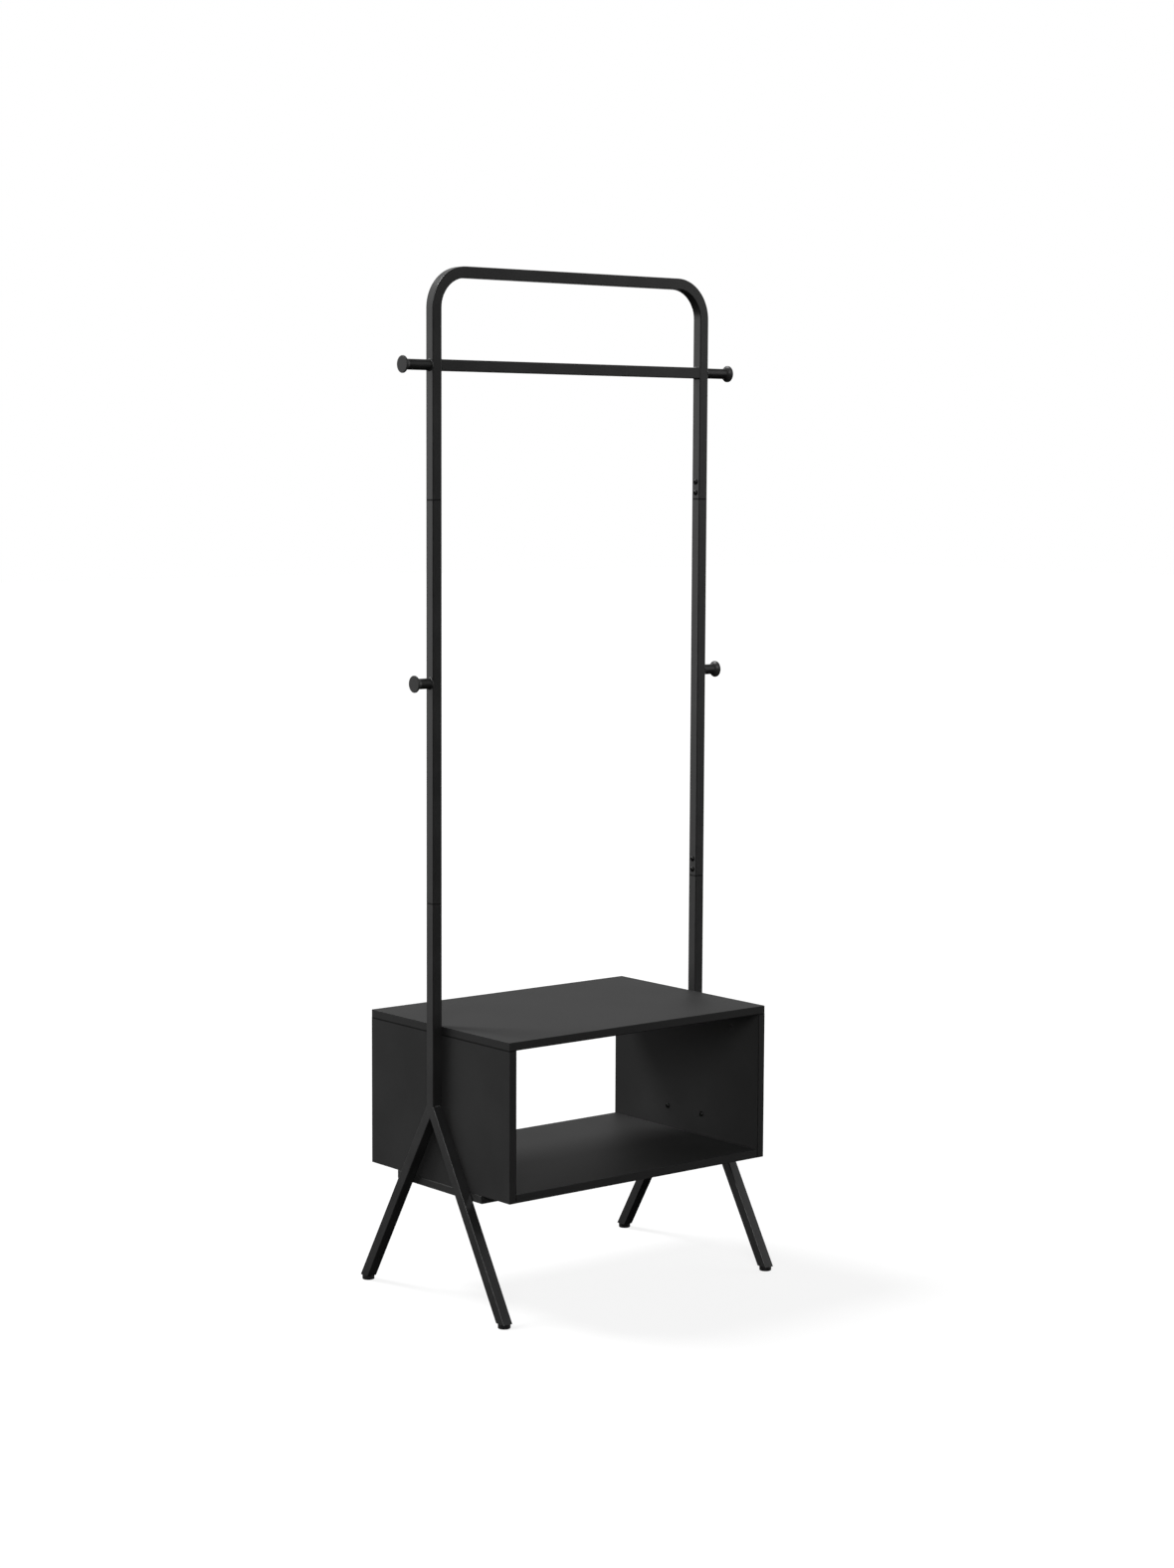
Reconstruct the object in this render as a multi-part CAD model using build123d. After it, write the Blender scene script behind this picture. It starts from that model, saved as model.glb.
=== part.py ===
from build123d import *
import os
from math import atan2, cos, degrees, sin, tan

# Hall tree: a square steel tube rack that stands on two forked ends and carries an open box.
# X runs along the hanging rail, -Y is the front and +Z is up. The origin is on the floor,
# under the middle of the rack. All lengths are in millimetres.

# ---- Overall sizes ----
RACK_HEIGHT = 1848.0     # floor to the top of the bent frame
BOX_WIDTH = 600.0        # over the two side panels, which the tubes lie flat against
BOX_DEPTH = 415.0
BOX_HEIGHT = 286.0       # underside of the side panels to the top face
BOX_TOP = 505.0          # floor to the top face of the box
FOOT_SPREAD = 412.0      # front foot axis to back foot axis

# ---- Rack tubes ----
TUBE = 20.0              # outside of the square tube
WALL = 1.2
TUBE_CORNER = 1.5        # outside corner radius of the tube
BEND_RADIUS = 64.0       # bend of the top frame, on the tube's centre line
RAIL_DROP = 172.5        # top of the rack to the axis of the hanging rail
TOP_FRAME_DROP = 407.0   # top of the rack to the seam where it stands on the middle posts
LOWER_SEAM = 727.0       # where the middle posts stand on the forked ends
FORK_HEIGHT = 358.3      # where the centre lines of a post and its two legs meet
SEAM_CHAMFER = 0.4       # round the outside of a tube's end at a seam

# ---- Sleeves that join the tubes, with their bolts and weld nuts ----
SLEEVE_PLAY = 0.1        # gap on each side between a sleeve and the tube round it
SLEEVE_WALL = 1.5
SLEEVE_DEPTH = 50.0      # how far a sleeve reaches into each tube
JOINT_BOLTS = (12.0, 32.0)   # heights of the two bolts above a seam
JOINT_GRIP = 9.0         # bolt inside the tube's outer wall and the sleeve
NUT_SIDE = 10.0          # square weld nut
NUT_THICK = 5.0

# ---- Pegs: a round stub welded to the tube, with a flared knob pressed into its end ----
SIDE_PEG_HEIGHT = 1119.0
SIDE_PEG_REACH = 34.5    # from the tube's outer face to the knob's end
RAIL_PEG_REACH = 59.0
STUB_DIAMETER = 19.0
STUB_WALL = 1.5
KNOB_DIAMETER = 30.5
KNOB_FLARE = 8.0         # length of the flare, from the stub to the rim
KNOB_FLARE_RADIUS = 12.0
KNOB_RIM = 3.0           # thickness of the rim
KNOB_SPIGOT = 14.0       # length of the spigot inside the stub
KNOB_ROUND = 1.2         # rounding of the rim

# ---- Threaded parts ----
THREAD = 6.0             # thread diameter of every bolt and stud
PITCH = 1.0
THREAD_DEPTH = 0.5
THREAD_PLAY = 0.02       # between a bolt's thread and its nut
BOLT_HOLE = 6.6          # clearance hole for a bolt
HEAD_DIAMETER = 10.5     # button head
HEAD_HEIGHT = 3.3
HEAD_FLAT = 5.4          # flat round the socket
HEAD_DOME = 5.0          # radius of the head's rounded side
SOCKET = 4.0             # hexagon socket across its flats
SOCKET_DEPTH = 2.0
NUT_GRIP = 10.0          # length of a frame bolt beyond the tube's face

# ---- Rivet nuts in the tubes ----
RIVET_BODY = 9.0
RIVET_FLANGE = 12.0
RIVET_FLANGE_THICK = 1.0
RIVET_LENGTH = 12.0      # below the flange
RIVET_PLAY = 0.3         # round the flange, in what lies against the tube

# ---- Levelling feet ----
FOOT_HEIGHT = 8.0        # floor to the cut ends of the legs, with the feet screwed in
FOOT_DIAMETER = 22.5
FOOT_GAP = 0.3           # pad to leg, with the foot screwed in
FOOT_ROUND = 1.2
STUD_SOCKET = 5.5        # how deep the stud sits in its pad
STUD_PLAY = 0.05         # round the stud in the leg plug
STUD_WALL_GAP = 0.5      # from the top of the stud to the leg's sloping wall
PLUG_LENGTH = 24.0       # along the leg

# ---- Box boards ----
BOARD = 15.0
BAND = 0.8               # edge band
EDGE_ROUND = 0.4
CORNER_ROUND = 1.0       # upright corners of the box top
BOX_BOLT_TOP = 445.0     # height of the bolt into each post
BOX_BOLT_LOW = 275.0     # height of the bolts into the legs

# ---- Box fittings ----
CAM_DIAMETER = 15.0
CAM_FLOOR = 2.5          # board left under a cam
CAM_PLAY = 0.1
CAM_FACE_DROP = 0.3      # cam face below the board's face
CAM_SET = 34.0           # cam axis to the joint
CAM_SLOT = 1.6           # width of the cross slot
CAM_SLOT_DEPTH = 1.5
CAM_BOLT_SHANK = 5.0
CAM_BOLT_HEAD = 7.0
CAM_BOLT_HEAD_THICK = 2.4
CAM_BOLT_BORE = 8.0      # bore round the shank in the board's edge
CAM_BOLT_BITE = 11.0     # thread in the other board
TOP_CAM_Y = 131.0        # from the middle, towards the front and the back
LOW_CAM_Y = 160.0
DOWEL = 8.0
DOWEL_SHORT = 10.0       # dowel in the board it meets face on
DOWEL_LONG = 20.0        # dowel in the board's edge
DOWEL_END_GAP = 0.5
DOWEL_Y = 184.0

# ---- Support frame under the box ----
SUPPORT_TUBE = 15.0
SUPPORT_WALL = 1.2
SUPPORT_TUBE_CORNER = 1.5
SUPPORT_DEPTH = 255.0    # front to back
SUPPORT_CORNER = 2.5     # ground corners of the frame

SIDES = (("left", -1), ("right", 1))
ENDS = (("front", -1), ("back", 1))

# ---- Worked out from the sizes above ----
HALF_BOX = BOX_WIDTH / 2
BOX_BASE = BOX_TOP - BOX_HEIGHT
BOARD_MID = HALF_BOX - BOARD / 2
INNER_FACE = HALF_BOX - BOARD
POST_X = HALF_BOX + TUBE / 2
OUTER_FACE = HALF_BOX + TUBE
BORE = TUBE - 2 * WALL
BORE_CORNER = TUBE_CORNER - WALL
SLEEVE = BORE - 2 * SLEEVE_PLAY
TOP_AXIS = RACK_HEIGHT - TUBE / 2
RAIL_HEIGHT = RACK_HEIGHT - RAIL_DROP
UPPER_SEAM = RACK_HEIGHT - TOP_FRAME_DROP
LEG_DROP = FORK_HEIGHT - FOOT_HEIGHT
LEAN = atan2(FOOT_SPREAD / 2, LEG_DROP)
KNOB_LENGTH = KNOB_FLARE + KNOB_RIM
SUPPORT_AXIS = BOX_BASE - SUPPORT_TUBE / 2
CAM_DEPTH = BOARD - CAM_FLOOR
# The stud is upright in a sloping leg, so it ends where the leg's wall comes over it.
STUD_REACH = (BORE / 2 / cos(LEAN) - THREAD / 2 - STUD_WALL_GAP) / tan(LEAN)


def leg_y(height):
    """Distance of a leg's centre line from the middle, at a height above the floor."""
    return (FORK_HEIGHT - height) * tan(LEAN)


def bar(length, side, corner):
    """Square bar with rounded edges, along +Z from the origin."""
    return extrude(RectangleRounded(side, side, corner), length)


def square_tube(length, side, wall, corner):
    """Square tube along +Z from the origin."""
    return bar(length, side, corner) - bar(length, side - 2 * wall, corner - wall)


def rod(diameter, length):
    """Round rod along +Z from the origin."""
    return Cylinder(diameter / 2, length, align=(Align.CENTER, Align.CENTER, Align.MIN))


def block(low, high):
    """Box between two corners."""
    size = [b - a for a, b in zip(low, high)]
    return Pos(*low) * Box(*size, align=(Align.MIN, Align.MIN, Align.MIN))


def aim(x, y, z, direction):
    """Place at a point, with the local Z axis along a direction."""
    return Plane(origin=(x, y, z), z_dir=direction).location


def outwards(side, x, y, z):
    """Place at x on one side of the rack, with the local Z axis away from the middle."""
    return aim(side * x, y, z, (side, 0, 0))


def slab(points, half_width, x_mid):
    """Outline in Y and Z, made solid along X."""
    face = make_face(Plane.YZ * Polyline(*points, close=True))
    return Pos(x_mid - half_width, 0, 0) * extrude(face, 2 * half_width, dir=(1, 0, 0))


def turned(lines):
    """Turn a closed outline, drawn as radius and height, about the Z axis."""
    return revolve(Plane.XZ * make_face(lines), Axis.Z)


def thread(length):
    """Threaded rod along +Z from the origin, as rings at the thread's pitch."""
    crest = THREAD / 2 - THREAD_PLAY
    root = crest - THREAD_DEPTH
    turns = int(length / PITCH)
    outline = [(0, 0), (root, 0)]
    for turn in range(turns, 0, -1):
        outline.append((crest, length - (turn - 0.5) * PITCH))
        outline.append((root, length - (turn - 1) * PITCH))
    outline.append((0, length))
    return turned(Polyline(*outline, close=True))


def button_bolt(length):
    """Button head bolt: the head sits on z = 0 and the thread runs along +Z."""
    rim = HEAD_DIAMETER / 2
    flat = HEAD_FLAT / 2
    dome = [
        Line((0, 0), (rim, 0)),
        RadiusArc((rim, 0), (flat, -HEAD_HEIGHT), HEAD_DOME),
        Line((flat, -HEAD_HEIGHT), (0, -HEAD_HEIGHT)),
        Line((0, -HEAD_HEIGHT), (0, 0)),
    ]
    socket = extrude(RegularPolygon(SOCKET / 2, 6, major_radius=False), SOCKET_DEPTH)
    return turned(dome) - Pos(0, 0, -HEAD_HEIGHT) * socket + thread(length)


def weld_nut():
    """Square weld nut on z = 0, along +Z."""
    return extrude(Rectangle(NUT_SIDE, NUT_SIDE), NUT_THICK) - rod(THREAD, NUT_THICK)


def rivet_nut():
    """Rivet nut: its flange is under z = 0, and its body runs along +Z through a tube's wall."""
    flange = Pos(0, 0, -RIVET_FLANGE_THICK) * rod(RIVET_FLANGE, RIVET_FLANGE_THICK)
    length = RIVET_FLANGE_THICK + RIVET_LENGTH
    return flange + rod(RIVET_BODY, RIVET_LENGTH) - Pos(0, 0, -RIVET_FLANGE_THICK) * rod(THREAD, length)


# ---- Rack ----


def ease_seam(tube, height):
    """Chamfer the outside of a tube's ends that lie at a seam's height."""
    ends = [face for face in tube.faces().filter_by(Plane.XY) if abs(face.center().Z - height) < WALL]
    return chamfer([edge for face in ends for edge in face.outer_wire().edges()], SEAM_CHAMFER)


def joint_holes(side, seam, diameter, x_face, depth):
    """Holes for a joint's two bolts, from the face that looks at the middle of the rack."""
    place = [outwards(side, x_face, 0, seam + rise) for rise in JOINT_BOLTS]
    return [spot * rod(diameter, depth) for spot in place]


def top_frame():
    """Top frame: one tube, bent to an upside-down U."""
    corners = [
        (-POST_X, 0, UPPER_SEAM),
        (-POST_X, 0, TOP_AXIS),
        (POST_X, 0, TOP_AXIS),
        (POST_X, 0, UPPER_SEAM),
    ]
    path = FilletPolyline(*corners, radius=BEND_RADIUS)
    start = Plane(origin=corners[0], z_dir=(0, 0, 1))
    outer = sweep(start * RectangleRounded(TUBE, TUBE, TUBE_CORNER), path)
    inner = sweep(start * RectangleRounded(BORE, BORE, BORE_CORNER), path)
    frame = ease_seam(outer - inner, UPPER_SEAM)
    for _, side in SIDES:
        frame -= joint_holes(side, UPPER_SEAM, BOLT_HOLE, HALF_BOX, WALL)
    return frame


def middle_post(side):
    """Straight post between the two seams."""
    post = Pos(side * POST_X, 0, LOWER_SEAM) * square_tube(
        UPPER_SEAM - LOWER_SEAM, TUBE, WALL, TUBE_CORNER
    )
    post = ease_seam(ease_seam(post, UPPER_SEAM), LOWER_SEAM)
    return post - joint_holes(side, LOWER_SEAM, BOLT_HOLE, HALF_BOX, WALL)


def lower_post(side):
    """Post of a forked end, cut to a point below, where the two legs are mitred to it."""
    rise = TUBE * tan(LEAN / 2)
    mitre = [
        (0, FORK_HEIGHT),
        (TUBE, FORK_HEIGHT + rise),
        (TUBE, LOWER_SEAM),
        (-TUBE, LOWER_SEAM),
        (-TUBE, FORK_HEIGHT + rise),
    ]
    post = Pos(side * POST_X, 0, FORK_HEIGHT) * square_tube(
        LOWER_SEAM - FORK_HEIGHT, TUBE, WALL, TUBE_CORNER
    )
    post = ease_seam(post, LOWER_SEAM) & slab(mitre, TUBE, side * POST_X)
    return post - outwards(side, HALF_BOX, 0, BOX_BOLT_TOP) * rod(RIVET_BODY, WALL)


def along_leg(side, end):
    """Place on the fork, with the local Z axis down the leg."""
    down = (0, end * sin(LEAN), -cos(LEAN))
    return Plane(origin=(side * POST_X, 0, FORK_HEIGHT), x_dir=(1, 0, 0), z_dir=down).location


def leg_room(side, end):
    """Space that a leg may fill: beside its mitres and above its level cut end."""
    reach = FOOT_SPREAD
    mitre = [
        (0, FORK_HEIGHT),
        (end * reach, FORK_HEIGHT + reach * tan(LEAN / 2)),
        (end * reach, FOOT_HEIGHT),
        (0, FOOT_HEIGHT),
    ]
    return slab(mitre, TUBE, side * POST_X)


def leg_length():
    """Long enough to run past the level cut at the foot."""
    return LEG_DROP / cos(LEAN) + TUBE


def leg(side, end):
    """Leg of a forked end, with holes for its rivet nuts."""
    past = Pos(0, 0, -TUBE) * square_tube(leg_length() + TUBE, TUBE, WALL, TUBE_CORNER)
    tube = along_leg(side, end) * past & leg_room(side, end)
    for height in (BOX_BOLT_LOW, SUPPORT_AXIS):
        tube -= outwards(side, HALF_BOX, end * leg_y(height), height) * rod(RIVET_BODY, WALL)
    return tube


def foot_axis(side, end, height):
    """Place on a foot's upright axis."""
    return Pos(side * POST_X, end * FOOT_SPREAD / 2, height)


def leg_plug(side, end):
    """Plastic plug in a leg's end, with an upright threaded hole for the foot."""
    start = leg_length() - TUBE - PLUG_LENGTH
    core = Pos(0, 0, start) * bar(PLUG_LENGTH + TUBE, BORE, BORE_CORNER)
    plug = along_leg(side, end) * core & leg_room(side, end)
    hole = rod(THREAD + 2 * STUD_PLAY, STUD_REACH + STUD_WALL_GAP)
    return plug - foot_axis(side, end, FOOT_HEIGHT) * hole


def foot_stud(side, end):
    """Threaded stud, moulded into the foot's pad."""
    bottom = FOOT_HEIGHT - FOOT_GAP - STUD_SOCKET
    return foot_axis(side, end, bottom) * thread(STUD_SOCKET + FOOT_GAP + STUD_REACH)


def foot_pad(side, end):
    """Round pad, which stands on the floor."""
    height = FOOT_HEIGHT - FOOT_GAP
    pad = rod(FOOT_DIAMETER, height)
    pad = fillet(pad.edges().sort_by(Axis.Z)[0], FOOT_ROUND)
    pad -= Pos(0, 0, height - STUD_SOCKET) * rod(THREAD, STUD_SOCKET)
    return foot_axis(side, end, 0) * pad


def sleeve(side, seam):
    """Square sleeve across a seam, with holes for the two bolts in its part above the seam."""
    body = Pos(side * POST_X, 0, seam - SLEEVE_DEPTH) * square_tube(
        2 * SLEEVE_DEPTH, SLEEVE, SLEEVE_WALL, BORE_CORNER + SLEEVE_WALL
    )
    return body - joint_holes(side, seam, BOLT_HOLE, POST_X - SLEEVE / 2, SLEEVE_WALL)


def joint_bolts(seam):
    """The four bolts of the two sleeves at one height."""
    grip = WALL + SLEEVE_PLAY + SLEEVE_WALL + JOINT_GRIP
    return [
        outwards(side, HALF_BOX, 0, seam + rise) * button_bolt(grip)
        for _, side in SIDES
        for rise in JOINT_BOLTS
    ]


def joint_nuts(seam):
    """Weld nuts behind the sleeve's wall, one for each joint bolt."""
    seat = POST_X - SLEEVE / 2 + SLEEVE_WALL
    return [
        outwards(side, seat, 0, seam + rise) * weld_nut()
        for _, side in SIDES
        for rise in JOINT_BOLTS
    ]


def hanging_rail():
    """Rail between the two sides of the top frame."""
    return aim(-HALF_BOX, 0, RAIL_HEIGHT, (1, 0, 0)) * square_tube(
        BOX_WIDTH, TUBE, WALL, TUBE_CORNER
    )


def peg_stub(side, height, reach):
    """Round tube, welded to the outer face of a post."""
    length = reach - KNOB_LENGTH
    tube = rod(STUB_DIAMETER, length) - rod(STUB_DIAMETER - 2 * STUB_WALL, length)
    return outwards(side, OUTER_FACE, 0, height) * tube


def peg_knob(side, height, reach):
    """Flared knob with a thick rim, and a spigot that is pressed into the stub."""
    neck = STUB_DIAMETER / 2
    rim = KNOB_DIAMETER / 2
    bore = neck - STUB_WALL
    outline = [
        Line((0, -KNOB_SPIGOT), (bore, -KNOB_SPIGOT)),
        Line((bore, -KNOB_SPIGOT), (bore, 0)),
        Line((bore, 0), (neck, 0)),
        RadiusArc((neck, 0), (rim, KNOB_FLARE), KNOB_FLARE_RADIUS),
        Line((rim, KNOB_FLARE), (rim, KNOB_LENGTH)),
        Line((rim, KNOB_LENGTH), (0, KNOB_LENGTH)),
        Line((0, KNOB_LENGTH), (0, -KNOB_SPIGOT)),
    ]
    knob = turned(outline)
    rims = [edge for edge in knob.edges().filter_by(GeomType.CIRCLE) if edge.radius > neck + 1]
    knob = fillet(rims, KNOB_ROUND)
    return outwards(side, OUTER_FACE + reach - KNOB_LENGTH, 0, height) * knob


# ---- Box ----


def box_bolt_places():
    """Side, distance from the middle and height of each bolt between the box and the rack."""
    spots = [(0, BOX_BOLT_TOP)]
    spots += [(end * leg_y(BOX_BOLT_LOW), BOX_BOLT_LOW) for _, end in ENDS]
    return [(side, y, z) for _, side in SIDES for y, z in spots]


def support_bolt_places():
    """Side, distance from the middle and height of each bolt between the support and the legs."""
    y = leg_y(SUPPORT_AXIS)
    return [(side, end * y, SUPPORT_AXIS) for _, side in SIDES for _, end in ENDS]


def frame_bolts(places, grip):
    """Bolts whose heads lie on the inner faces of the box or of the support frame."""
    return [
        outwards(side, HALF_BOX - grip, y, z) * button_bolt(grip + NUT_GRIP)
        for side, y, z in places
    ]


def rivet_nuts(places):
    """Rivet nuts in the faces of the tubes that look at the middle."""
    return [outwards(side, HALF_BOX, y, z) * rivet_nut() for side, y, z in places]


def flange_pocket(side, y, z, depth):
    """Room for a rivet nut's flange in what lies against the tube."""
    place = outwards(side, HALF_BOX - depth, y, z)
    return place * rod(RIVET_FLANGE + 2 * RIVET_PLAY, depth)


def crossings(side, top_y, low_y):
    """Where fittings cross from board to board, with the local Z axis into the drilled face."""
    top = [aim(side * BOARD_MID, end * top_y, BOX_TOP - BOARD, (0, 0, 1)) for _, end in ENDS]
    low = [outwards(side, INNER_FACE, end * low_y, BOX_BASE + BOARD / 2) for _, end in ENDS]
    return top + low


def dowel_spots():
    """Where all the dowels cross."""
    return [spot for _, side in SIDES for spot in crossings(side, DOWEL_Y, DOWEL_Y)]


def cam_bolt_spots():
    """Where all the cam bolts cross."""
    return [spot for _, side in SIDES for spot in crossings(side, TOP_CAM_Y, LOW_CAM_Y)]


def cam_places():
    """Where each cam lies: on the board's face, with the local Z axis into the board."""
    places = []
    for _, side in SIDES:
        for _, end in ENDS:
            places.append(outwards(side, INNER_FACE, end * TOP_CAM_Y, BOX_TOP - BOARD - CAM_SET))
            places.append(
                aim(side * (INNER_FACE - CAM_SET), end * LOW_CAM_Y, BOX_BASE, (0, 0, 1))
            )
    return places


def dowel():
    """Beech dowel across a joint, with its short end along +Z."""
    length = DOWEL_SHORT + DOWEL_LONG
    peg = Pos(0, 0, -DOWEL_LONG) * rod(DOWEL, length)
    return chamfer(peg.edges().filter_by(GeomType.CIRCLE), DOWEL / 10)


def dowel_hole():
    """Hole that takes a dowel, with room at both ends."""
    length = DOWEL_SHORT + DOWEL_LONG + 2 * DOWEL_END_GAP
    return Pos(0, 0, -DOWEL_LONG - DOWEL_END_GAP) * rod(DOWEL, length)


def cam_bolt():
    """Cam bolt across a joint: its thread bites along +Z and its head is held by the cam."""
    neck = CAM_SET - CAM_BOLT_HEAD / 2
    disc = rod(CAM_BOLT_HEAD, CAM_BOLT_HEAD_THICK)
    shank = Pos(0, 0, -neck) * rod(CAM_BOLT_SHANK, neck + CAM_BOLT_BITE)
    head = Pos(0, 0, -neck - CAM_BOLT_HEAD_THICK) * disc
    collar = Pos(0, 0, -CAM_BOLT_HEAD_THICK) * disc
    return shank + head + collar


def cam_bolt_hole():
    """Bore in the board's edge, as far as the cam, and the bite in the other board."""
    bore = Pos(0, 0, -CAM_SET) * rod(CAM_BOLT_BORE, CAM_SET)
    return bore + rod(CAM_BOLT_SHANK, CAM_BOLT_BITE)


def cam(place):
    """Cam disc with a cross slot, hollowed out for the cam bolt that it draws in."""
    disc = rod(CAM_DIAMETER - 2 * CAM_PLAY, CAM_DEPTH - CAM_FACE_DROP - CAM_PLAY)
    slot = Box(CAM_DIAMETER / 2, CAM_SLOT, 2 * CAM_SLOT_DEPTH)
    body = place * (Pos(0, 0, CAM_FACE_DROP) * (disc - slot - Rot(0, 0, 90) * slot))
    pocket = Pos(0, 0, -CAM_SET - CAM_BOLT_HEAD / 2) * rod(CAM_BOLT_BORE, CAM_SET)
    return body - [spot * pocket for spot in cam_bolt_spots()]


def fitting_holes():
    """Everything that is drilled for dowels, cam bolts and cams."""
    holes = [spot * dowel_hole() for spot in dowel_spots()]
    holes += [spot * cam_bolt_hole() for spot in cam_bolt_spots()]
    holes += [place * rod(CAM_DIAMETER, CAM_DEPTH) for place in cam_places()]
    return holes


def box_top(holes):
    """Top board, which lies on the side panels."""
    half_x = HALF_BOX - BAND
    half_y = BOX_DEPTH / 2 - BAND
    core = block((-half_x, -half_y, BOX_TOP - BOARD), (half_x, half_y, BOX_TOP))
    return core - holes


def top_edge_band():
    """Edge band round the top board."""
    outline = RectangleRounded(BOX_WIDTH, BOX_DEPTH, CORNER_ROUND)
    outline -= Rectangle(BOX_WIDTH - 2 * BAND, BOX_DEPTH - 2 * BAND)
    band = Pos(0, 0, BOX_TOP - BOARD) * extrude(outline, BOARD)
    faces = band.faces().sort_by(Axis.Z)
    outside = faces[0].outer_wire().edges() + faces[-1].outer_wire().edges()
    return fillet(outside, EDGE_ROUND)


def side_panel(side, holes):
    """Side board, drilled for its fittings and for the bolts into the rack."""
    half_y = BOX_DEPTH / 2 - BAND
    low = (min(side * INNER_FACE, side * HALF_BOX), -half_y, BOX_BASE + BAND)
    high = (max(side * INNER_FACE, side * HALF_BOX), half_y, BOX_TOP - BOARD)
    panel = block(low, high) - holes
    for place_side, y, z in box_bolt_places():
        if place_side == side:
            panel -= outwards(side, INNER_FACE, y, z) * rod(BOLT_HOLE, BOARD)
            panel -= flange_pocket(side, y, z, RIVET_FLANGE_THICK)
    return panel


def strip(low, high, direction):
    """Length of edge band, with its two long outer edges rounded."""
    face = block(low, high).faces().sort_by(direction)[-1]
    return fillet(face.edges().sort_by(SortBy.LENGTH)[-2:], EDGE_ROUND)


def side_edge_bands(side):
    """Edge bands on the front, back and bottom edges of a side panel."""
    x_low, x_high = sorted((side * INNER_FACE, side * HALF_BOX))
    y_out = BOX_DEPTH / 2
    y_in = y_out - BAND
    top = BOX_TOP - BOARD
    return [
        strip((x_low, -y_out, BOX_BASE), (x_high, -y_in, top), -Axis.Y),
        strip((x_low, y_in, BOX_BASE), (x_high, y_out, top), Axis.Y),
        strip((x_low, -y_in, BOX_BASE), (x_high, y_in, BOX_BASE + BAND), -Axis.Z),
    ]


def box_bottom(holes):
    """Bottom board, between the side panels."""
    half_y = BOX_DEPTH / 2 - BAND
    core = block((-INNER_FACE, -half_y, BOX_BASE), (INNER_FACE, half_y, BOX_BASE + BOARD))
    return core - holes


def bottom_edge_bands():
    """Edge bands on the front and back edges of the bottom board."""
    y_out = BOX_DEPTH / 2
    y_in = y_out - BAND
    top = BOX_BASE + BOARD
    return [
        strip((-INNER_FACE, -y_out, BOX_BASE), (INNER_FACE, -y_in, top), -Axis.Y),
        strip((-INNER_FACE, y_in, BOX_BASE), (INNER_FACE, y_out, top), Axis.Y),
    ]


# ---- Support frame: four mitred tubes in a ring, under the box and between the legs ----


def support_outline():
    """The ring's outer shape, which rounds its ground corners."""
    outline = RectangleRounded(BOX_WIDTH, SUPPORT_DEPTH, SUPPORT_CORNER)
    return Pos(0, 0, BOX_BASE - SUPPORT_TUBE) * extrude(outline, SUPPORT_TUBE)


def support_mitre(points):
    """Upright prism that cuts a rail's two mitred ends."""
    face = make_face(Polyline(*points, close=True))
    return Pos(0, 0, BOX_BASE - 2 * SUPPORT_TUBE) * extrude(face, 3 * SUPPORT_TUBE)


def support_side_rail(side):
    """Front-to-back rail, bolted to two legs."""
    half = SUPPORT_DEPTH / 2
    inner = HALF_BOX - half
    place = aim(side * (HALF_BOX - SUPPORT_TUBE / 2), -half, SUPPORT_AXIS, (0, 1, 0))
    rail = place * square_tube(SUPPORT_DEPTH, SUPPORT_TUBE, SUPPORT_WALL, SUPPORT_TUBE_CORNER)
    corners = [(side * HALF_BOX, -half), (side * HALF_BOX, half), (side * inner, 0)]
    rail = rail & support_mitre(corners) & support_outline()
    for place_side, y, z in support_bolt_places():
        if place_side == side:
            rail -= outwards(side, HALF_BOX - SUPPORT_TUBE, y, z) * rod(BOLT_HOLE, SUPPORT_WALL)
            rail -= flange_pocket(side, y, z, SUPPORT_WALL)
    return rail


def support_cross_rail(end):
    """Side-to-side rail, at the front or at the back."""
    half = SUPPORT_DEPTH / 2
    inner = HALF_BOX - half
    place = aim(-HALF_BOX, end * (half - SUPPORT_TUBE / 2), SUPPORT_AXIS, (1, 0, 0))
    rail = place * square_tube(BOX_WIDTH, SUPPORT_TUBE, SUPPORT_WALL, SUPPORT_TUBE_CORNER)
    corners = [(-HALF_BOX, end * half), (HALF_BOX, end * half), (inner, 0), (-inner, 0)]
    return rail & support_mitre(corners) & support_outline()


# ---- Nodes ----


def rack_nodes():
    """Pieces of the steel rack."""
    nodes = {"top_frame": top_frame(), "hanging_rail": hanging_rail()}
    for name, side in SIDES:
        nodes[f"middle_post_{name}"] = middle_post(side)
        nodes[f"lower_post_{name}"] = lower_post(side)
        nodes[f"upper_sleeve_{name}"] = sleeve(side, UPPER_SEAM)
        nodes[f"lower_sleeve_{name}"] = sleeve(side, LOWER_SEAM)
        nodes[f"rail_peg_stub_{name}"] = peg_stub(side, RAIL_HEIGHT, RAIL_PEG_REACH)
        nodes[f"rail_peg_knob_{name}"] = peg_knob(side, RAIL_HEIGHT, RAIL_PEG_REACH)
        nodes[f"side_peg_stub_{name}"] = peg_stub(side, SIDE_PEG_HEIGHT, SIDE_PEG_REACH)
        nodes[f"side_peg_knob_{name}"] = peg_knob(side, SIDE_PEG_HEIGHT, SIDE_PEG_REACH)
        for end_name, end in ENDS:
            corner = f"{end_name}_{name}"
            nodes[f"leg_{corner}"] = leg(side, end)
            nodes[f"leg_plug_{corner}"] = leg_plug(side, end)
            nodes[f"foot_stud_{corner}"] = foot_stud(side, end)
            nodes[f"foot_pad_{corner}"] = foot_pad(side, end)
    return nodes


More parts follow.
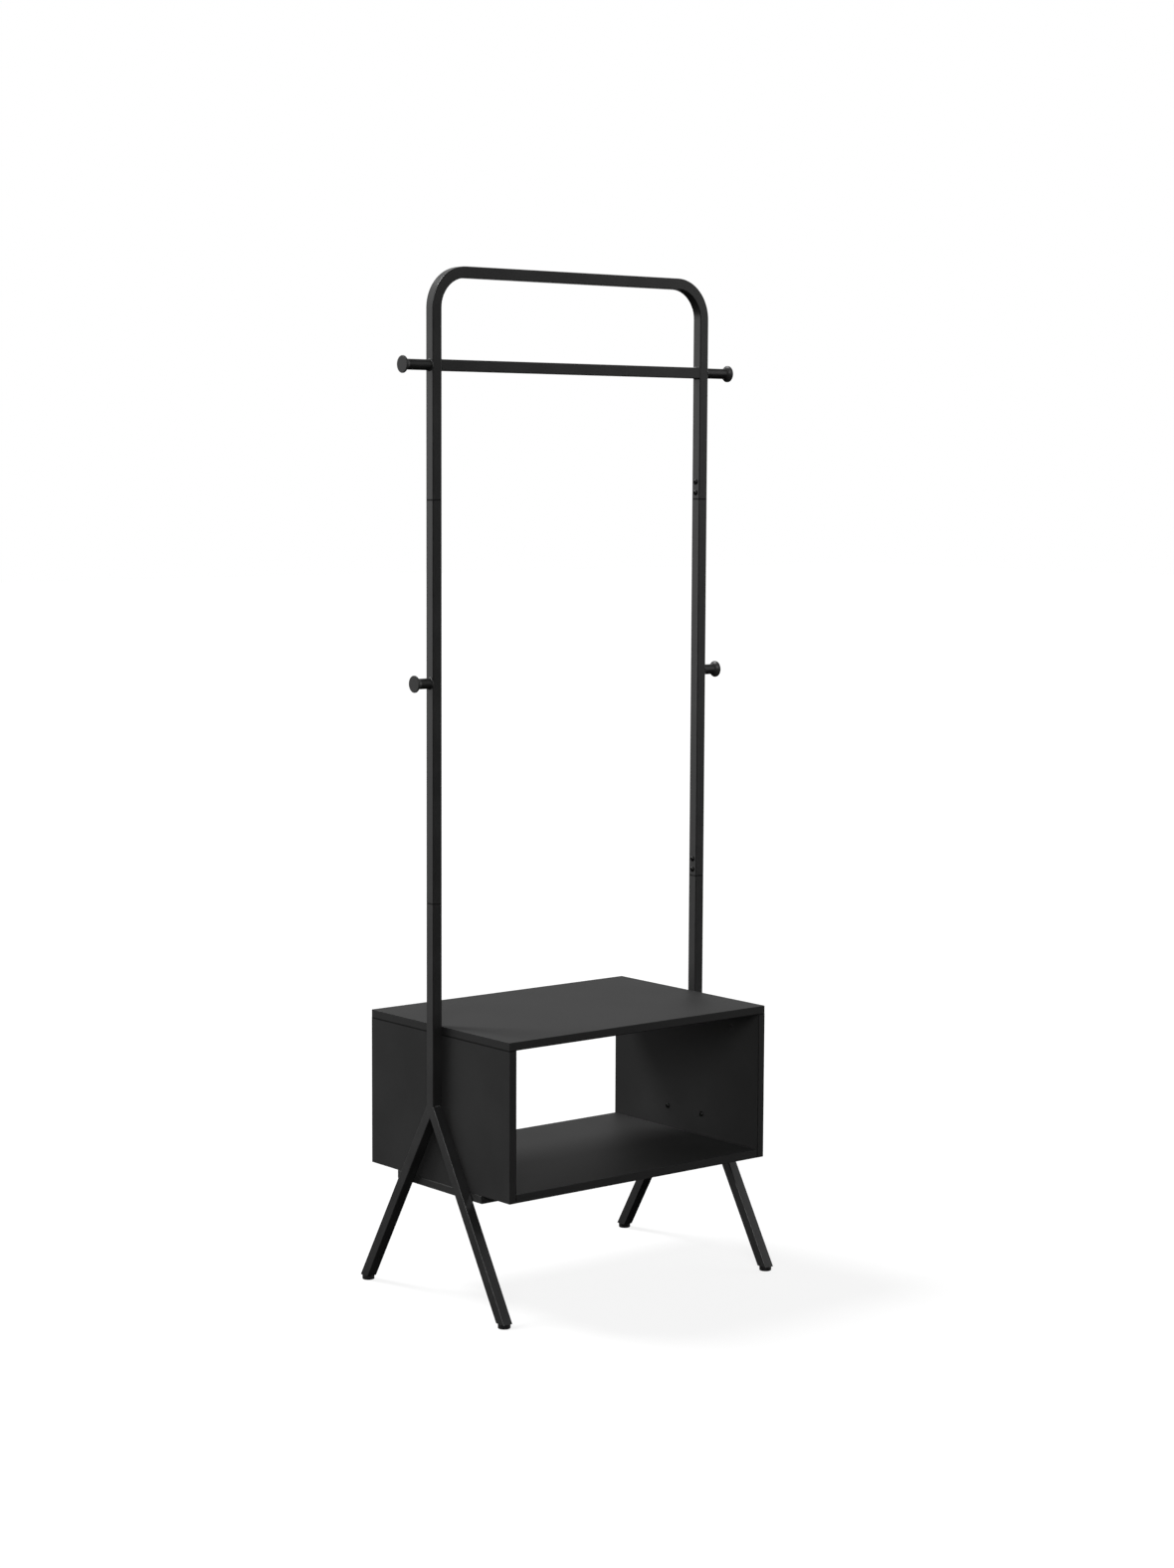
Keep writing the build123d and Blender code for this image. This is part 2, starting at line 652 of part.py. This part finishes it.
def box_nodes():
    """Boards of the box, with their edge bands and fittings."""
    holes = fitting_holes()
    nodes = {
        "box_top": box_top(holes),
        "box_bottom": box_bottom(holes),
        "top_edge_band": top_edge_band(),
        "bottom_edge_bands": bottom_edge_bands(),
        "cams": [cam(place) for place in cam_places()],
        "cam_bolts": [spot * cam_bolt() for spot in cam_bolt_spots()],
        "dowels": [spot * dowel() for spot in dowel_spots()],
    }
    for name, side in SIDES:
        nodes[f"side_panel_{name}"] = side_panel(side, holes)
        nodes[f"side_edge_bands_{name}"] = side_edge_bands(side)
    return nodes


def support_nodes():
    """Rails of the support frame."""
    nodes = {f"support_rail_{name}": support_side_rail(side) for name, side in SIDES}
    nodes.update({f"support_rail_{name}": support_cross_rail(end) for name, end in ENDS})
    return nodes


def fastener_nodes():
    """Bolts and nuts, each kind at each joint as one group."""
    nodes = {}
    for name, seam in (("upper", UPPER_SEAM), ("lower", LOWER_SEAM)):
        nodes[f"{name}_joint_bolts"] = joint_bolts(seam)
        nodes[f"{name}_joint_nuts"] = joint_nuts(seam)
    for name, places, grip in (
        ("box", box_bolt_places(), BOARD),
        ("support", support_bolt_places(), SUPPORT_TUBE),
    ):
        nodes[f"{name}_bolts"] = frame_bolts(places, grip)
        nodes[f"{name}_rivet_nuts"] = rivet_nuts(places)
    return nodes


def main():
    """Write one STEP file for each node."""
    os.makedirs("parts", exist_ok=True)
    nodes = {**rack_nodes(), **box_nodes(), **support_nodes(), **fastener_nodes()}
    for name, shape in nodes.items():
        group = shape if isinstance(shape, list) else [shape]
        solids = [solid for piece in group for solid in piece.solids()]
        whole = solids[0] if len(solids) == 1 else Compound(children=solids)
        export_step(whole, f"parts/{name}.step")
        print(f"{name}: {len(solids)} solid(s)")
    print(f"{len(nodes)} nodes, lean {degrees(LEAN):.2f} degrees, stud reach {STUD_REACH:.2f} mm")


main()
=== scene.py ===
from math import atan2, cos, pi, radians, sin, tan

import bmesh
import bpy
from mathutils import Matrix, Vector


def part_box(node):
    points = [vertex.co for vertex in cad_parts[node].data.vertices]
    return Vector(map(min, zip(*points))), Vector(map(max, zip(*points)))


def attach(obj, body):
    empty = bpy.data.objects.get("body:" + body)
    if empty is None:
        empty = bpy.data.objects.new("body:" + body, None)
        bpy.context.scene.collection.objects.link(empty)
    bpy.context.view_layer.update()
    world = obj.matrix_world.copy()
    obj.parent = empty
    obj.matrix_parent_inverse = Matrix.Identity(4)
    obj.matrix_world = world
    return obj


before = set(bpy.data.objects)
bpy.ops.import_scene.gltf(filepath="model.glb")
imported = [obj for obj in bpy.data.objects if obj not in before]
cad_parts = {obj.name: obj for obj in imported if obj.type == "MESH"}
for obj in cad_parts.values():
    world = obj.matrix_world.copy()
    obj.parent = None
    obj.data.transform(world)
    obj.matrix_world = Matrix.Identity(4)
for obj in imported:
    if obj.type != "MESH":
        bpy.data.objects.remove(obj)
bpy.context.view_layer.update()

# Hall tree: a black square tube rack on two forked ends, which carries an open box.
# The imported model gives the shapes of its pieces. This file gives each piece its finish and adds
# the weld beads. X runs along the hanging rail, -Y is the front and +Z is up.
# Lengths are in metres.

MM = 0.001

# ---- Camera ----
LENS = 69.07
EYE = Vector((-3.4541, -4.2717, 1.4993))
AZIMUTH = radians(-39.28)
ELEVATION = radians(6.01)
ROLL = radians(0.28)

# ---- Studio ----
FLOOR_SIZE = 60.0
FLOOR_TONE = 0.25
FLOOR_CLOUD = 3.0        # size of the faint clouds in the floor's paint
FLOOR_CLOUD_LIFT = 1.01  # how much paler the clouds are
FLOOR_GLOW = 0.84        # the floor's own light, which keeps the shadows on it faint
BACKDROP_TONE = 1.0
# Lamps: the way to each, the angle it spreads over and its strength.
LAMPS = {
    "key": (Vector((-0.29, 0.53, 0.79)), radians(20), 2.30),
    "fill": (Vector((-0.60, -0.65, 0.45)), radians(26), 1.10),
}
ROOM_GLOW = 0.012
# Soft panels of the room: the way to each and its strength.
PANEL_EDGE, PANEL_FULL = 0.75, 0.97   # cosines of a panel's faint edge and of its full part
PANELS = (
    (Vector((-0.66, 0.75, 0.20)), 0.88),
    (Vector((0.55, 0.80, 0.25)), 0.56),
    (Vector((0.95, -0.25, 0.15)), 1.30),
)
PANEL_FOOT, PANEL_LIT = -0.30, -0.02  # the panels fade out between these heights of the way

# ---- Seams, with painted shade lines in their gaps ----
SEAM_Z = 490 * MM        # underside of the top board
SEAM_X = 285 * MM        # inner faces of the side panels
POST_SEAMS = (727 * MM, 1441 * MM)   # ends of the middle posts
# Each seam gets a thin near-black line: painted shade that stands in for the shadow in the gap
# between the parts.
SEAM_SHADE_HALF = 0.9 * MM     # half the width of the dark line
SEAM_SHADE_TONE = 0.001

# ---- Weld beads ----
BEAD_SIDES = 12
RIPPLE = 1.4 * MM        # from one ripple of a bead to the next
RIPPLE_DEPTH = 0.10
RINGS_A_RIPPLE = 4
RAIL_BEAD = 1.7 * MM
STUB_BEAD = 1.5 * MM
FORK_BEAD = 3.0 * MM
FORK_BEAD_SHOWS = 0.9 * MM
CROTCH_BEAD = 3.2 * MM
SUPPORT_BEAD = 1.8 * MM
BEAD_END = 0.25          # width of a bead's very end, as a share of its middle

# Sockets of a colour Mix node
MIX_FACTOR, MIX_FIRST, MIX_SECOND, MIX_RESULT = 0, 6, 7, 2


class Wire:
    """A node's output, with arithmetic that adds Math nodes."""

    def __init__(self, nodes, socket):
        self.nodes = nodes
        self.socket = socket

    def maths(self, operation, first, second):
        return self.nodes.add("ShaderNodeMath", {"operation": operation}, {0: first, 1: second})

    def __add__(self, other):
        return self.maths("ADD", self, other)

    def __radd__(self, other):
        return self.maths("ADD", other, self)

    def __sub__(self, other):
        return self.maths("SUBTRACT", self, other)

    def __rsub__(self, other):
        return self.maths("SUBTRACT", other, self)

    def __mul__(self, other):
        return self.maths("MULTIPLY", self, other)

    def __rmul__(self, other):
        return self.maths("MULTIPLY", other, self)


class Nodes:
    """A node tree that is built up node by node."""

    def __init__(self, tree):
        self.tree = tree
        tree.nodes.clear()

    def add(self, kind, settings=None, sockets=None, output=0):
        """Add a node: its settings first, then the values or links of its sockets."""
        node = self.tree.nodes.new(kind)
        for name, value in (settings or {}).items():
            setattr(node, name, value)
        for name, value in (sockets or {}).items():
            socket = node.inputs[name]
            if isinstance(value, Wire):
                self.tree.links.new(value.socket, socket)
            else:
                socket.default_value = value
        return Wire(self, node.outputs[output]) if node.outputs else None

    def step(self, value, low, high):
        """0 below low, 1 above high, and smooth between them."""
        sockets = {"Value": value, "From Min": low, "From Max": high}
        return self.add("ShaderNodeMapRange", {"interpolation_type": "SMOOTHSTEP"}, sockets)

    def blend(self, factor, first, second):
        """Colour between two colours."""
        sockets = {MIX_FACTOR: factor, MIX_FIRST: first, MIX_SECOND: second}
        return self.add("ShaderNodeMix", {"data_type": "RGBA"}, sockets, MIX_RESULT)


class Finish(Nodes):
    """A procedural material on a piece's own coordinates."""

    def __init__(self, name):
        self.material = bpy.data.materials.new(name)
        self.material.use_nodes = True
        super().__init__(self.material.node_tree)
        self.place = self.add("ShaderNodeTexCoord", output="Object")

    def noise(self, across, detail=2.0, stretch=None):
        """Noise from 0 to 1, with spots this many metres across, drawn out by the stretch."""
        place = self.place
        if stretch:
            place = self.add("ShaderNodeMapping", None, {"Vector": place, "Scale": stretch})
        sockets = {"Vector": place, "Scale": 1 / across, "Detail": detail}
        return self.add("ShaderNodeTexNoise", None, sockets)

    def from_middle(self, axis):
        """Distance from the middle of the rack along one axis."""
        way = self.add("ShaderNodeSeparateXYZ", None, {"Vector": self.place}, axis)
        return self.add("ShaderNodeMath", {"operation": "ABSOLUTE"}, {0: way})

    def line(self, distance, at):
        """1 on a thin line at a distance, and 0 beside it."""
        beside = self.add("ShaderNodeMath", {"operation": "ABSOLUTE"}, {0: distance - at})
        return 1 - self.step(beside, SEAM_SHADE_HALF, 2 * SEAM_SHADE_HALF)

    def relief(self, height, depth, under=None):
        """Bumps this many metres deep, laid over other bumps."""
        sockets = {"Height": height, "Distance": depth}
        if under:
            sockets["Normal"] = under
        return self.add("ShaderNodeBump", None, sockets)

    def finished(self, colour, roughness, normal, **others):
        """Close the material. The others are further sockets, with underscores for spaces."""
        sockets = {"Base Color": colour, "Roughness": roughness, "Normal": normal}
        sockets.update({name.replace("_", " "): value for name, value in others.items()})
        shader = self.add("ShaderNodeBsdfPrincipled", None, sockets)
        self.add("ShaderNodeOutputMaterial", None, {"Surface": shader})
        return self.material


def grey(level):
    """Linear grey."""
    return (level, level, level, 1)


# ---- Finishes ----


def powder_coat():
    """Black powder coat: a soft sheen over fine orange peel, with painted shade lines at the post
    joints.
    """
    coat = Finish("powder_coat")
    cloud = coat.noise(60 * MM, 3)
    peel = coat.noise(1.3 * MM)
    grain = coat.noise(0.35 * MM)
    height = coat.from_middle("Z")
    # Painted shade: a near-black line round the posts at each joint stands in for the shadow in
    # the joint's gap.
    seam_shade = coat.line(height, POST_SEAMS[0]) + coat.line(height, POST_SEAMS[1])
    plain = coat.blend(coat.step(cloud, 0.35, 0.7), grey(0.020), grey(0.027))
    colour = coat.blend(seam_shade, plain, grey(SEAM_SHADE_TONE))
    roughness = 0.25 + 0.08 * cloud + 0.06 * grain + 0.5 * seam_shade
    bumps = coat.relief(grain, 0.003 * MM, coat.relief(peel, 0.012 * MM))
    return coat.finished(
        colour, roughness, bumps, IOR=1.5, Coat_Weight=0.25 * (1 - seam_shade), Coat_Roughness=0.14
    )


def knob_plastic():
    """Black moulded plastic, a little duller than the tubes."""
    skin = Finish("knob_plastic")
    cloud = skin.noise(18 * MM, 3)
    grain = skin.noise(0.30 * MM, 3)
    colour = skin.blend(cloud, grey(0.034), grey(0.042))
    roughness = 0.34 + 0.10 * cloud + 0.08 * grain
    return skin.finished(colour, roughness, skin.relief(grain, 0.012 * MM), IOR=1.46)


def black_board():
    """Black melamine face: a fine matt grain that runs along the board, with a painted shade line
    under the top board.
    """
    face = Finish("black_board")
    cloud = face.noise(140 * MM, 4)
    pores = face.noise(0.9 * MM, 3, (0.25, 1, 1))
    grain = face.noise(0.4 * MM, 2)
    plain = face.blend(face.step(cloud, 0.3, 0.7), grey(0.025), grey(0.033))
    # Painted shade: a near-black line along the side panels just under the top board stands in for
    # the shadow in the gap between them.
    on_panel = face.step(face.from_middle("X"), SEAM_X - SEAM_SHADE_HALF, SEAM_X + SEAM_SHADE_HALF)
    seam_shade = face.line(face.from_middle("Z"), SEAM_Z) * on_panel
    colour = face.blend(seam_shade, plain, grey(SEAM_SHADE_TONE))
    roughness = 0.52 + 0.10 * cloud + 0.08 * pores + 0.3 * seam_shade
    bumps = face.relief(grain, 0.010 * MM, face.relief(pores, 0.020 * MM))
    return face.finished(colour, roughness, bumps, Specular_IOR_Level=0.27)


def edge_strip():
    """Black edge banding, smoother than the board's face, with painted shade lines where the
    boards meet.
    """
    strip = Finish("edge_strip")
    cloud = strip.noise(50 * MM, 3)
    grain = strip.noise(0.5 * MM, 2)
    height = strip.from_middle("Z")
    # Painted shade: near-black lines on the banding, under the top board and at the side panels'
    # inner faces, stand in for the shadows in the gaps between the boards.
    under_top = 1 - strip.step(height, SEAM_Z - SEAM_SHADE_HALF, SEAM_Z + SEAM_SHADE_HALF)
    upright = strip.line(strip.from_middle("X"), SEAM_X) * under_top
    seam_shade = strip.add(
        "ShaderNodeMath", {"operation": "MAXIMUM"}, {0: upright, 1: strip.line(height, SEAM_Z)}
    )
    plain = strip.blend(cloud, grey(0.013), grey(0.017))
    colour = strip.blend(seam_shade, plain, grey(SEAM_SHADE_TONE))
    roughness = 0.42 + 0.10 * cloud + 0.06 * grain + 0.4 * seam_shade
    return strip.finished(colour, roughness, strip.relief(grain, 0.012 * MM), IOR=1.46)


def black_bolt():
    """Black zinc on a steel bolt."""
    metal = Finish("black_bolt")
    cloud = metal.noise(3 * MM, 3)
    grain = metal.noise(0.25 * MM)
    colour = metal.blend(cloud, grey(0.012), grey(0.022))
    roughness = 0.30 + 0.16 * cloud
    return metal.finished(colour, roughness, metal.relief(grain, 0.008 * MM), Metallic=0.7)


def zinc_plate():
    """Bright zinc on the hidden nuts, studs and sleeves."""
    metal = Finish("zinc_plate")
    cloud = metal.noise(6 * MM, 3)
    grain = metal.noise(0.3 * MM)
    colour = metal.blend(cloud, (0.44, 0.45, 0.47, 1), (0.60, 0.60, 0.59, 1))
    roughness = 0.28 + 0.16 * cloud
    return metal.finished(colour, roughness, metal.relief(grain, 0.01 * MM), Metallic=1.0)


def cam_metal():
    """Dark die-cast zinc of the cams."""
    metal = Finish("cam_metal")
    cloud = metal.noise(4 * MM, 3)
    grain = metal.noise(0.3 * MM, 3)
    colour = metal.blend(cloud, grey(0.018), grey(0.035))
    roughness = 0.42 + 0.16 * cloud
    return metal.finished(colour, roughness, metal.relief(grain, 0.02 * MM), Metallic=0.6)


def beech_wood():
    """Beech of the dowels, with short darker flecks."""
    wood = Finish("beech_wood")
    fibres = wood.noise(0.8 * MM, 4, (1, 1, 0.12))
    flecks = wood.step(wood.noise(1.2 * MM, 2, (1, 1, 0.3)), 0.58, 0.68)
    pale = wood.blend(fibres, (0.56, 0.36, 0.19, 1), (0.68, 0.47, 0.27, 1))
    colour = wood.blend(0.5 * flecks, pale, (0.32, 0.17, 0.08, 1))
    return wood.finished(colour, 0.55 + 0.15 * fibres, wood.relief(fibres, 0.05 * MM))


def foot_plastic():
    """Black moulded plastic of the feet, matt."""
    skin = Finish("foot_plastic")
    cloud = skin.noise(9 * MM, 3)
    grain = skin.noise(0.35 * MM, 3)
    colour = skin.blend(cloud, grey(0.008), grey(0.014))
    roughness = 0.48 + 0.14 * cloud
    return skin.finished(colour, roughness, skin.relief(grain, 0.02 * MM), IOR=1.46)


def plug_plastic():
    """Black plastic of the plugs in the legs."""
    skin = Finish("plug_plastic")
    cloud = skin.noise(12 * MM, 2)
    grain = skin.noise(0.4 * MM, 2)
    colour = skin.blend(cloud, grey(0.010), grey(0.016))
    roughness = 0.50 + 0.12 * cloud
    return skin.finished(colour, roughness, skin.relief(grain, 0.02 * MM), IOR=1.46)


FINISHES = {
    "paint": powder_coat(),
    "knob": knob_plastic(),
    "board": black_board(),
    "edging": edge_strip(),
    "bolt": black_bolt(),
    "zinc": zinc_plate(),
    "cam": cam_metal(),
    "beech": beech_wood(),
    "foot": foot_plastic(),
    "plug": plug_plastic(),
}


def finish_cad_nodes():
    """Give every CAD node the finish of its material slot."""
    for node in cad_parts.values():
        for slot in node.material_slots:
            slot.material = FINISHES[slot.material.name.split(".")[0]]


# ---- Making the weld beads ----


def ripple(way):
    """Size of a bead at a distance along it, as a share of its mean size."""
    return 1 + RIPPLE_DEPTH * sin(2 * pi * way / RIPPLE)


def straight_bead(start, end, radius):
    """Bead along a straight seam, with rounded ends."""
    made = bmesh.new()
    run = end - start
    rings = max(2, round(run.length / RIPPLE * RINGS_A_RIPPLE))
    bmesh.ops.create_cone(
        made,
        cap_ends=True,
        segments=BEAD_SIDES,
        radius1=radius,
        radius2=radius,
        depth=run.length,
    )
    walls = [e for e in made.edges if abs(e.verts[0].co.z - e.verts[1].co.z) > radius / 2]
    bmesh.ops.subdivide_edges(made, edges=walls, cuts=rings - 1, use_grid_fill=True)
    half = run.length / 2
    for vert in made.verts:
        past = min(1.0, max(0.0, 1 - (half - abs(vert.co.z)) / radius))
        size = ripple(vert.co.z) * max(BEAD_END, (1 - past * past) ** 0.5)
        vert.co.x *= size
        vert.co.y *= size
    turn = run.to_track_quat("Z", "Y").to_matrix().to_4x4()
    bmesh.ops.transform(
        made, matrix=Matrix.Translation((start + end) / 2) @ turn, verts=made.verts
    )
    return made


def round_bead(centre, across, radius):
    """Bead round a stub's foot, in the plane that faces along X."""
    made = bmesh.new()
    circle = bmesh.ops.create_circle(made, segments=BEAD_SIDES, radius=radius)
    upright = Matrix.Translation((across / 2, 0, 0)) @ Matrix.Rotation(pi / 2, 4, "X")
    bmesh.ops.transform(made, matrix=upright, verts=circle["verts"])
    ripples = round(pi * across / RIPPLE)
    bmesh.ops.spin(
        made,
        geom=made.edges[:] + made.verts[:],
        axis=(0, 0, 1),
        cent=(0, 0, 0),
        angle=2 * pi,
        steps=ripples * RINGS_A_RIPPLE,
        use_merge=True,
    )
    bmesh.ops.remove_doubles(made, verts=made.verts, dist=radius / 100)
    for vert in made.verts:
        round_way = atan2(vert.co.y, vert.co.x)
        middle = Vector((cos(round_way), sin(round_way), 0)) * across / 2
        vert.co = middle + (vert.co - middle) * (1 + RIPPLE_DEPTH * sin(round_way * ripples))
    bmesh.ops.recalc_face_normals(made, faces=made.faces)
    turn = Matrix.Translation(centre) @ Matrix.Rotation(pi / 2, 4, "Y")
    bmesh.ops.transform(made, matrix=turn, verts=made.verts)
    return made


def weld(name, beads):
    """One piece from the beads of one kind of seam."""
    mesh = bpy.data.meshes.new(name)
    whole = bmesh.new()
    for bead in beads:
        bead.to_mesh(mesh)
        whole.from_mesh(mesh)
        bead.free()
    for face in whole.faces:
        face.smooth = True
    whole.to_mesh(mesh)
    whole.free()
    piece = bpy.data.objects.new(name, mesh)
    bpy.context.scene.collection.objects.link(piece)
    mesh.materials.append(FINISHES["paint"])
    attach(piece, "rack")


def rail_beads():
    """Beads below and above the hanging rail, at both its ends."""
    low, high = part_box("hanging_rail")
    beads = []
    for x in (low.x, high.x):
        for z in (low.z, high.z):
            start = Vector((x, low.y + RAIL_BEAD, z))
            stop = Vector((x, high.y - RAIL_BEAD, z))
            beads.append(straight_bead(start, stop, RAIL_BEAD))
    return beads


def stub_beads():
    """Bead round the foot of each peg's stub."""
    beads = []
    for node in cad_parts:
        if "peg_stub" in node:
            low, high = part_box(node)
            foot = low.x if low.x > 0 else high.x
            middle = Vector((foot, 0, (low.z + high.z) / 2))
            beads.append(round_bead(middle, high.z - low.z, STUB_BEAD))
    return beads


def fork_beads():
    """Beads across each fork: beside the post, and where its two legs part."""
    beads = []
    for side in ("left", "right"):
        low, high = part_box(f"lower_post_{side}")
        foot_low, foot_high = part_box(f"foot_pad_front_{side}")
        leg_low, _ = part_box(f"leg_front_{side}")
        spread = -(foot_low.y + foot_high.y) / 2
        lean = atan2(spread, low.z - leg_low.z)
        half = (high.x - low.x) / 2
        corner = half * tan(lean / 2)
        inset = Vector((FORK_BEAD, 0, 0))
        for end in (-1, 1):
            sunk = FORK_BEAD - FORK_BEAD_SHOWS
            inwards = Vector((0, -end * cos(lean / 2), -sin(lean / 2))) * sunk
            place = Vector((0, end * half, low.z + corner)) + inwards
            start = place + Vector((low.x, 0, 0)) + inset
            stop = place + Vector((high.x, 0, 0)) - inset
            beads.append(straight_bead(start, stop, FORK_BEAD))
        crotch = low.z - half / sin(lean)
        start = Vector((low.x, 0, crotch)) + inset
        stop = Vector((high.x, 0, crotch)) - inset
        beads.append(straight_bead(start, stop, CROTCH_BEAD))
    return beads


def support_beads():
    """Upright beads inside the four corners of the support frame."""
    low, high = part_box("support_rail_left")
    wide = high.x - low.x
    front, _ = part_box("support_rail_front")
    beads = []
    for x in (high.x, -high.x):
        for y in (front.y + wide, -front.y - wide):
            start = Vector((x, y, low.z + SUPPORT_BEAD))
            stop = Vector((x, y, high.z - SUPPORT_BEAD))
            beads.append(straight_bead(start, stop, SUPPORT_BEAD))
    return beads


# ---- Setting up the studio ----


def add_lamps():
    """Key lamp from above and behind, and fill lamp from the front left."""
    for name, (towards, spread, strength) in LAMPS.items():
        light = bpy.data.lights.new(name, "SUN")
        light.energy = strength
        light.angle = spread
        lamp = bpy.data.objects.new(name, light)
        lamp.rotation_euler = towards.to_track_quat("Z", "Y").to_euler()
        bpy.context.scene.collection.objects.link(lamp)


def add_floor():
    """Plain pale floor, which glows and throws no light back up at the rack."""
    mesh = bpy.data.meshes.new("floor")
    flat = bmesh.new()
    bmesh.ops.create_grid(flat, x_segments=1, y_segments=1, size=FLOOR_SIZE / 2)
    flat.to_mesh(mesh)
    flat.free()
    floor = bpy.data.objects.new("floor", mesh)
    bpy.context.scene.collection.objects.link(floor)
    pale = Finish("floor_paint")
    cloud = pale.noise(FLOOR_CLOUD)
    tone = pale.blend(cloud, grey(FLOOR_TONE), grey(FLOOR_TONE * FLOOR_CLOUD_LIFT))
    roughness = 0.9 + 0.05 * cloud
    paint = pale.finished(
        tone,
        roughness,
        pale.relief(cloud, MM),
        Specular_IOR_Level=0.0,
        Emission_Color=grey(1),
        Emission_Strength=FLOOR_GLOW,
    )
    mesh.materials.append(paint)
    floor.visible_glossy = False
    floor.visible_diffuse = False


def add_room():
    """Light from the room: a faint glow and a few soft panels. The camera sees plain white."""
    world = bpy.data.worlds.new("room")
    world.use_nodes = True
    bpy.context.scene.world = world
    room = Nodes(world.node_tree)
    way = room.add("ShaderNodeTexCoord", output="Generated")
    rise = room.add("ShaderNodeSeparateXYZ", None, {"Vector": way}, "Z")
    lit = room.step(rise, PANEL_FOOT, PANEL_LIT)
    glow = ROOM_GLOW
    for towards, strength in PANELS:
        settings = {"operation": "DOT_PRODUCT"}
        sockets = {0: way, 1: towards.normalized()}
        near = room.add("ShaderNodeVectorMath", settings, sockets, "Value")
        glow = glow + strength * lit * room.step(near, PANEL_EDGE, PANEL_FULL)
    seen = room.add("ShaderNodeLightPath", output="Is Camera Ray")
    strength = seen * BACKDROP_TONE + (1 - seen) * glow
    sky = room.add("ShaderNodeBackground", None, {"Strength": strength, "Color": grey(1)})
    room.add("ShaderNodeOutputWorld", None, {"Surface": sky})


def add_camera():
    """Camera in front of the left end, a little above the middle of the rack."""
    lens = bpy.data.cameras.new("camera")
    lens.lens = LENS
    camera = bpy.data.objects.new("camera", lens)
    turn = (
        Matrix.Rotation(AZIMUTH, 4, "Z")
        @ Matrix.Rotation(pi / 2 - ELEVATION, 4, "X")
        @ Matrix.Rotation(ROLL, 4, "Z")
    )
    camera.matrix_world = Matrix.Translation(EYE) @ turn
    bpy.context.scene.collection.objects.link(camera)
    bpy.context.scene.camera = camera


finish_cad_nodes()
weld("rail_weld_beads", rail_beads())
weld("stub_weld_beads", stub_beads())
weld("fork_weld_beads", fork_beads())
weld("support_weld_beads", support_beads())
add_lamps()
add_floor()
add_room()
add_camera()
bpy.context.scene.view_settings.view_transform = "Standard"
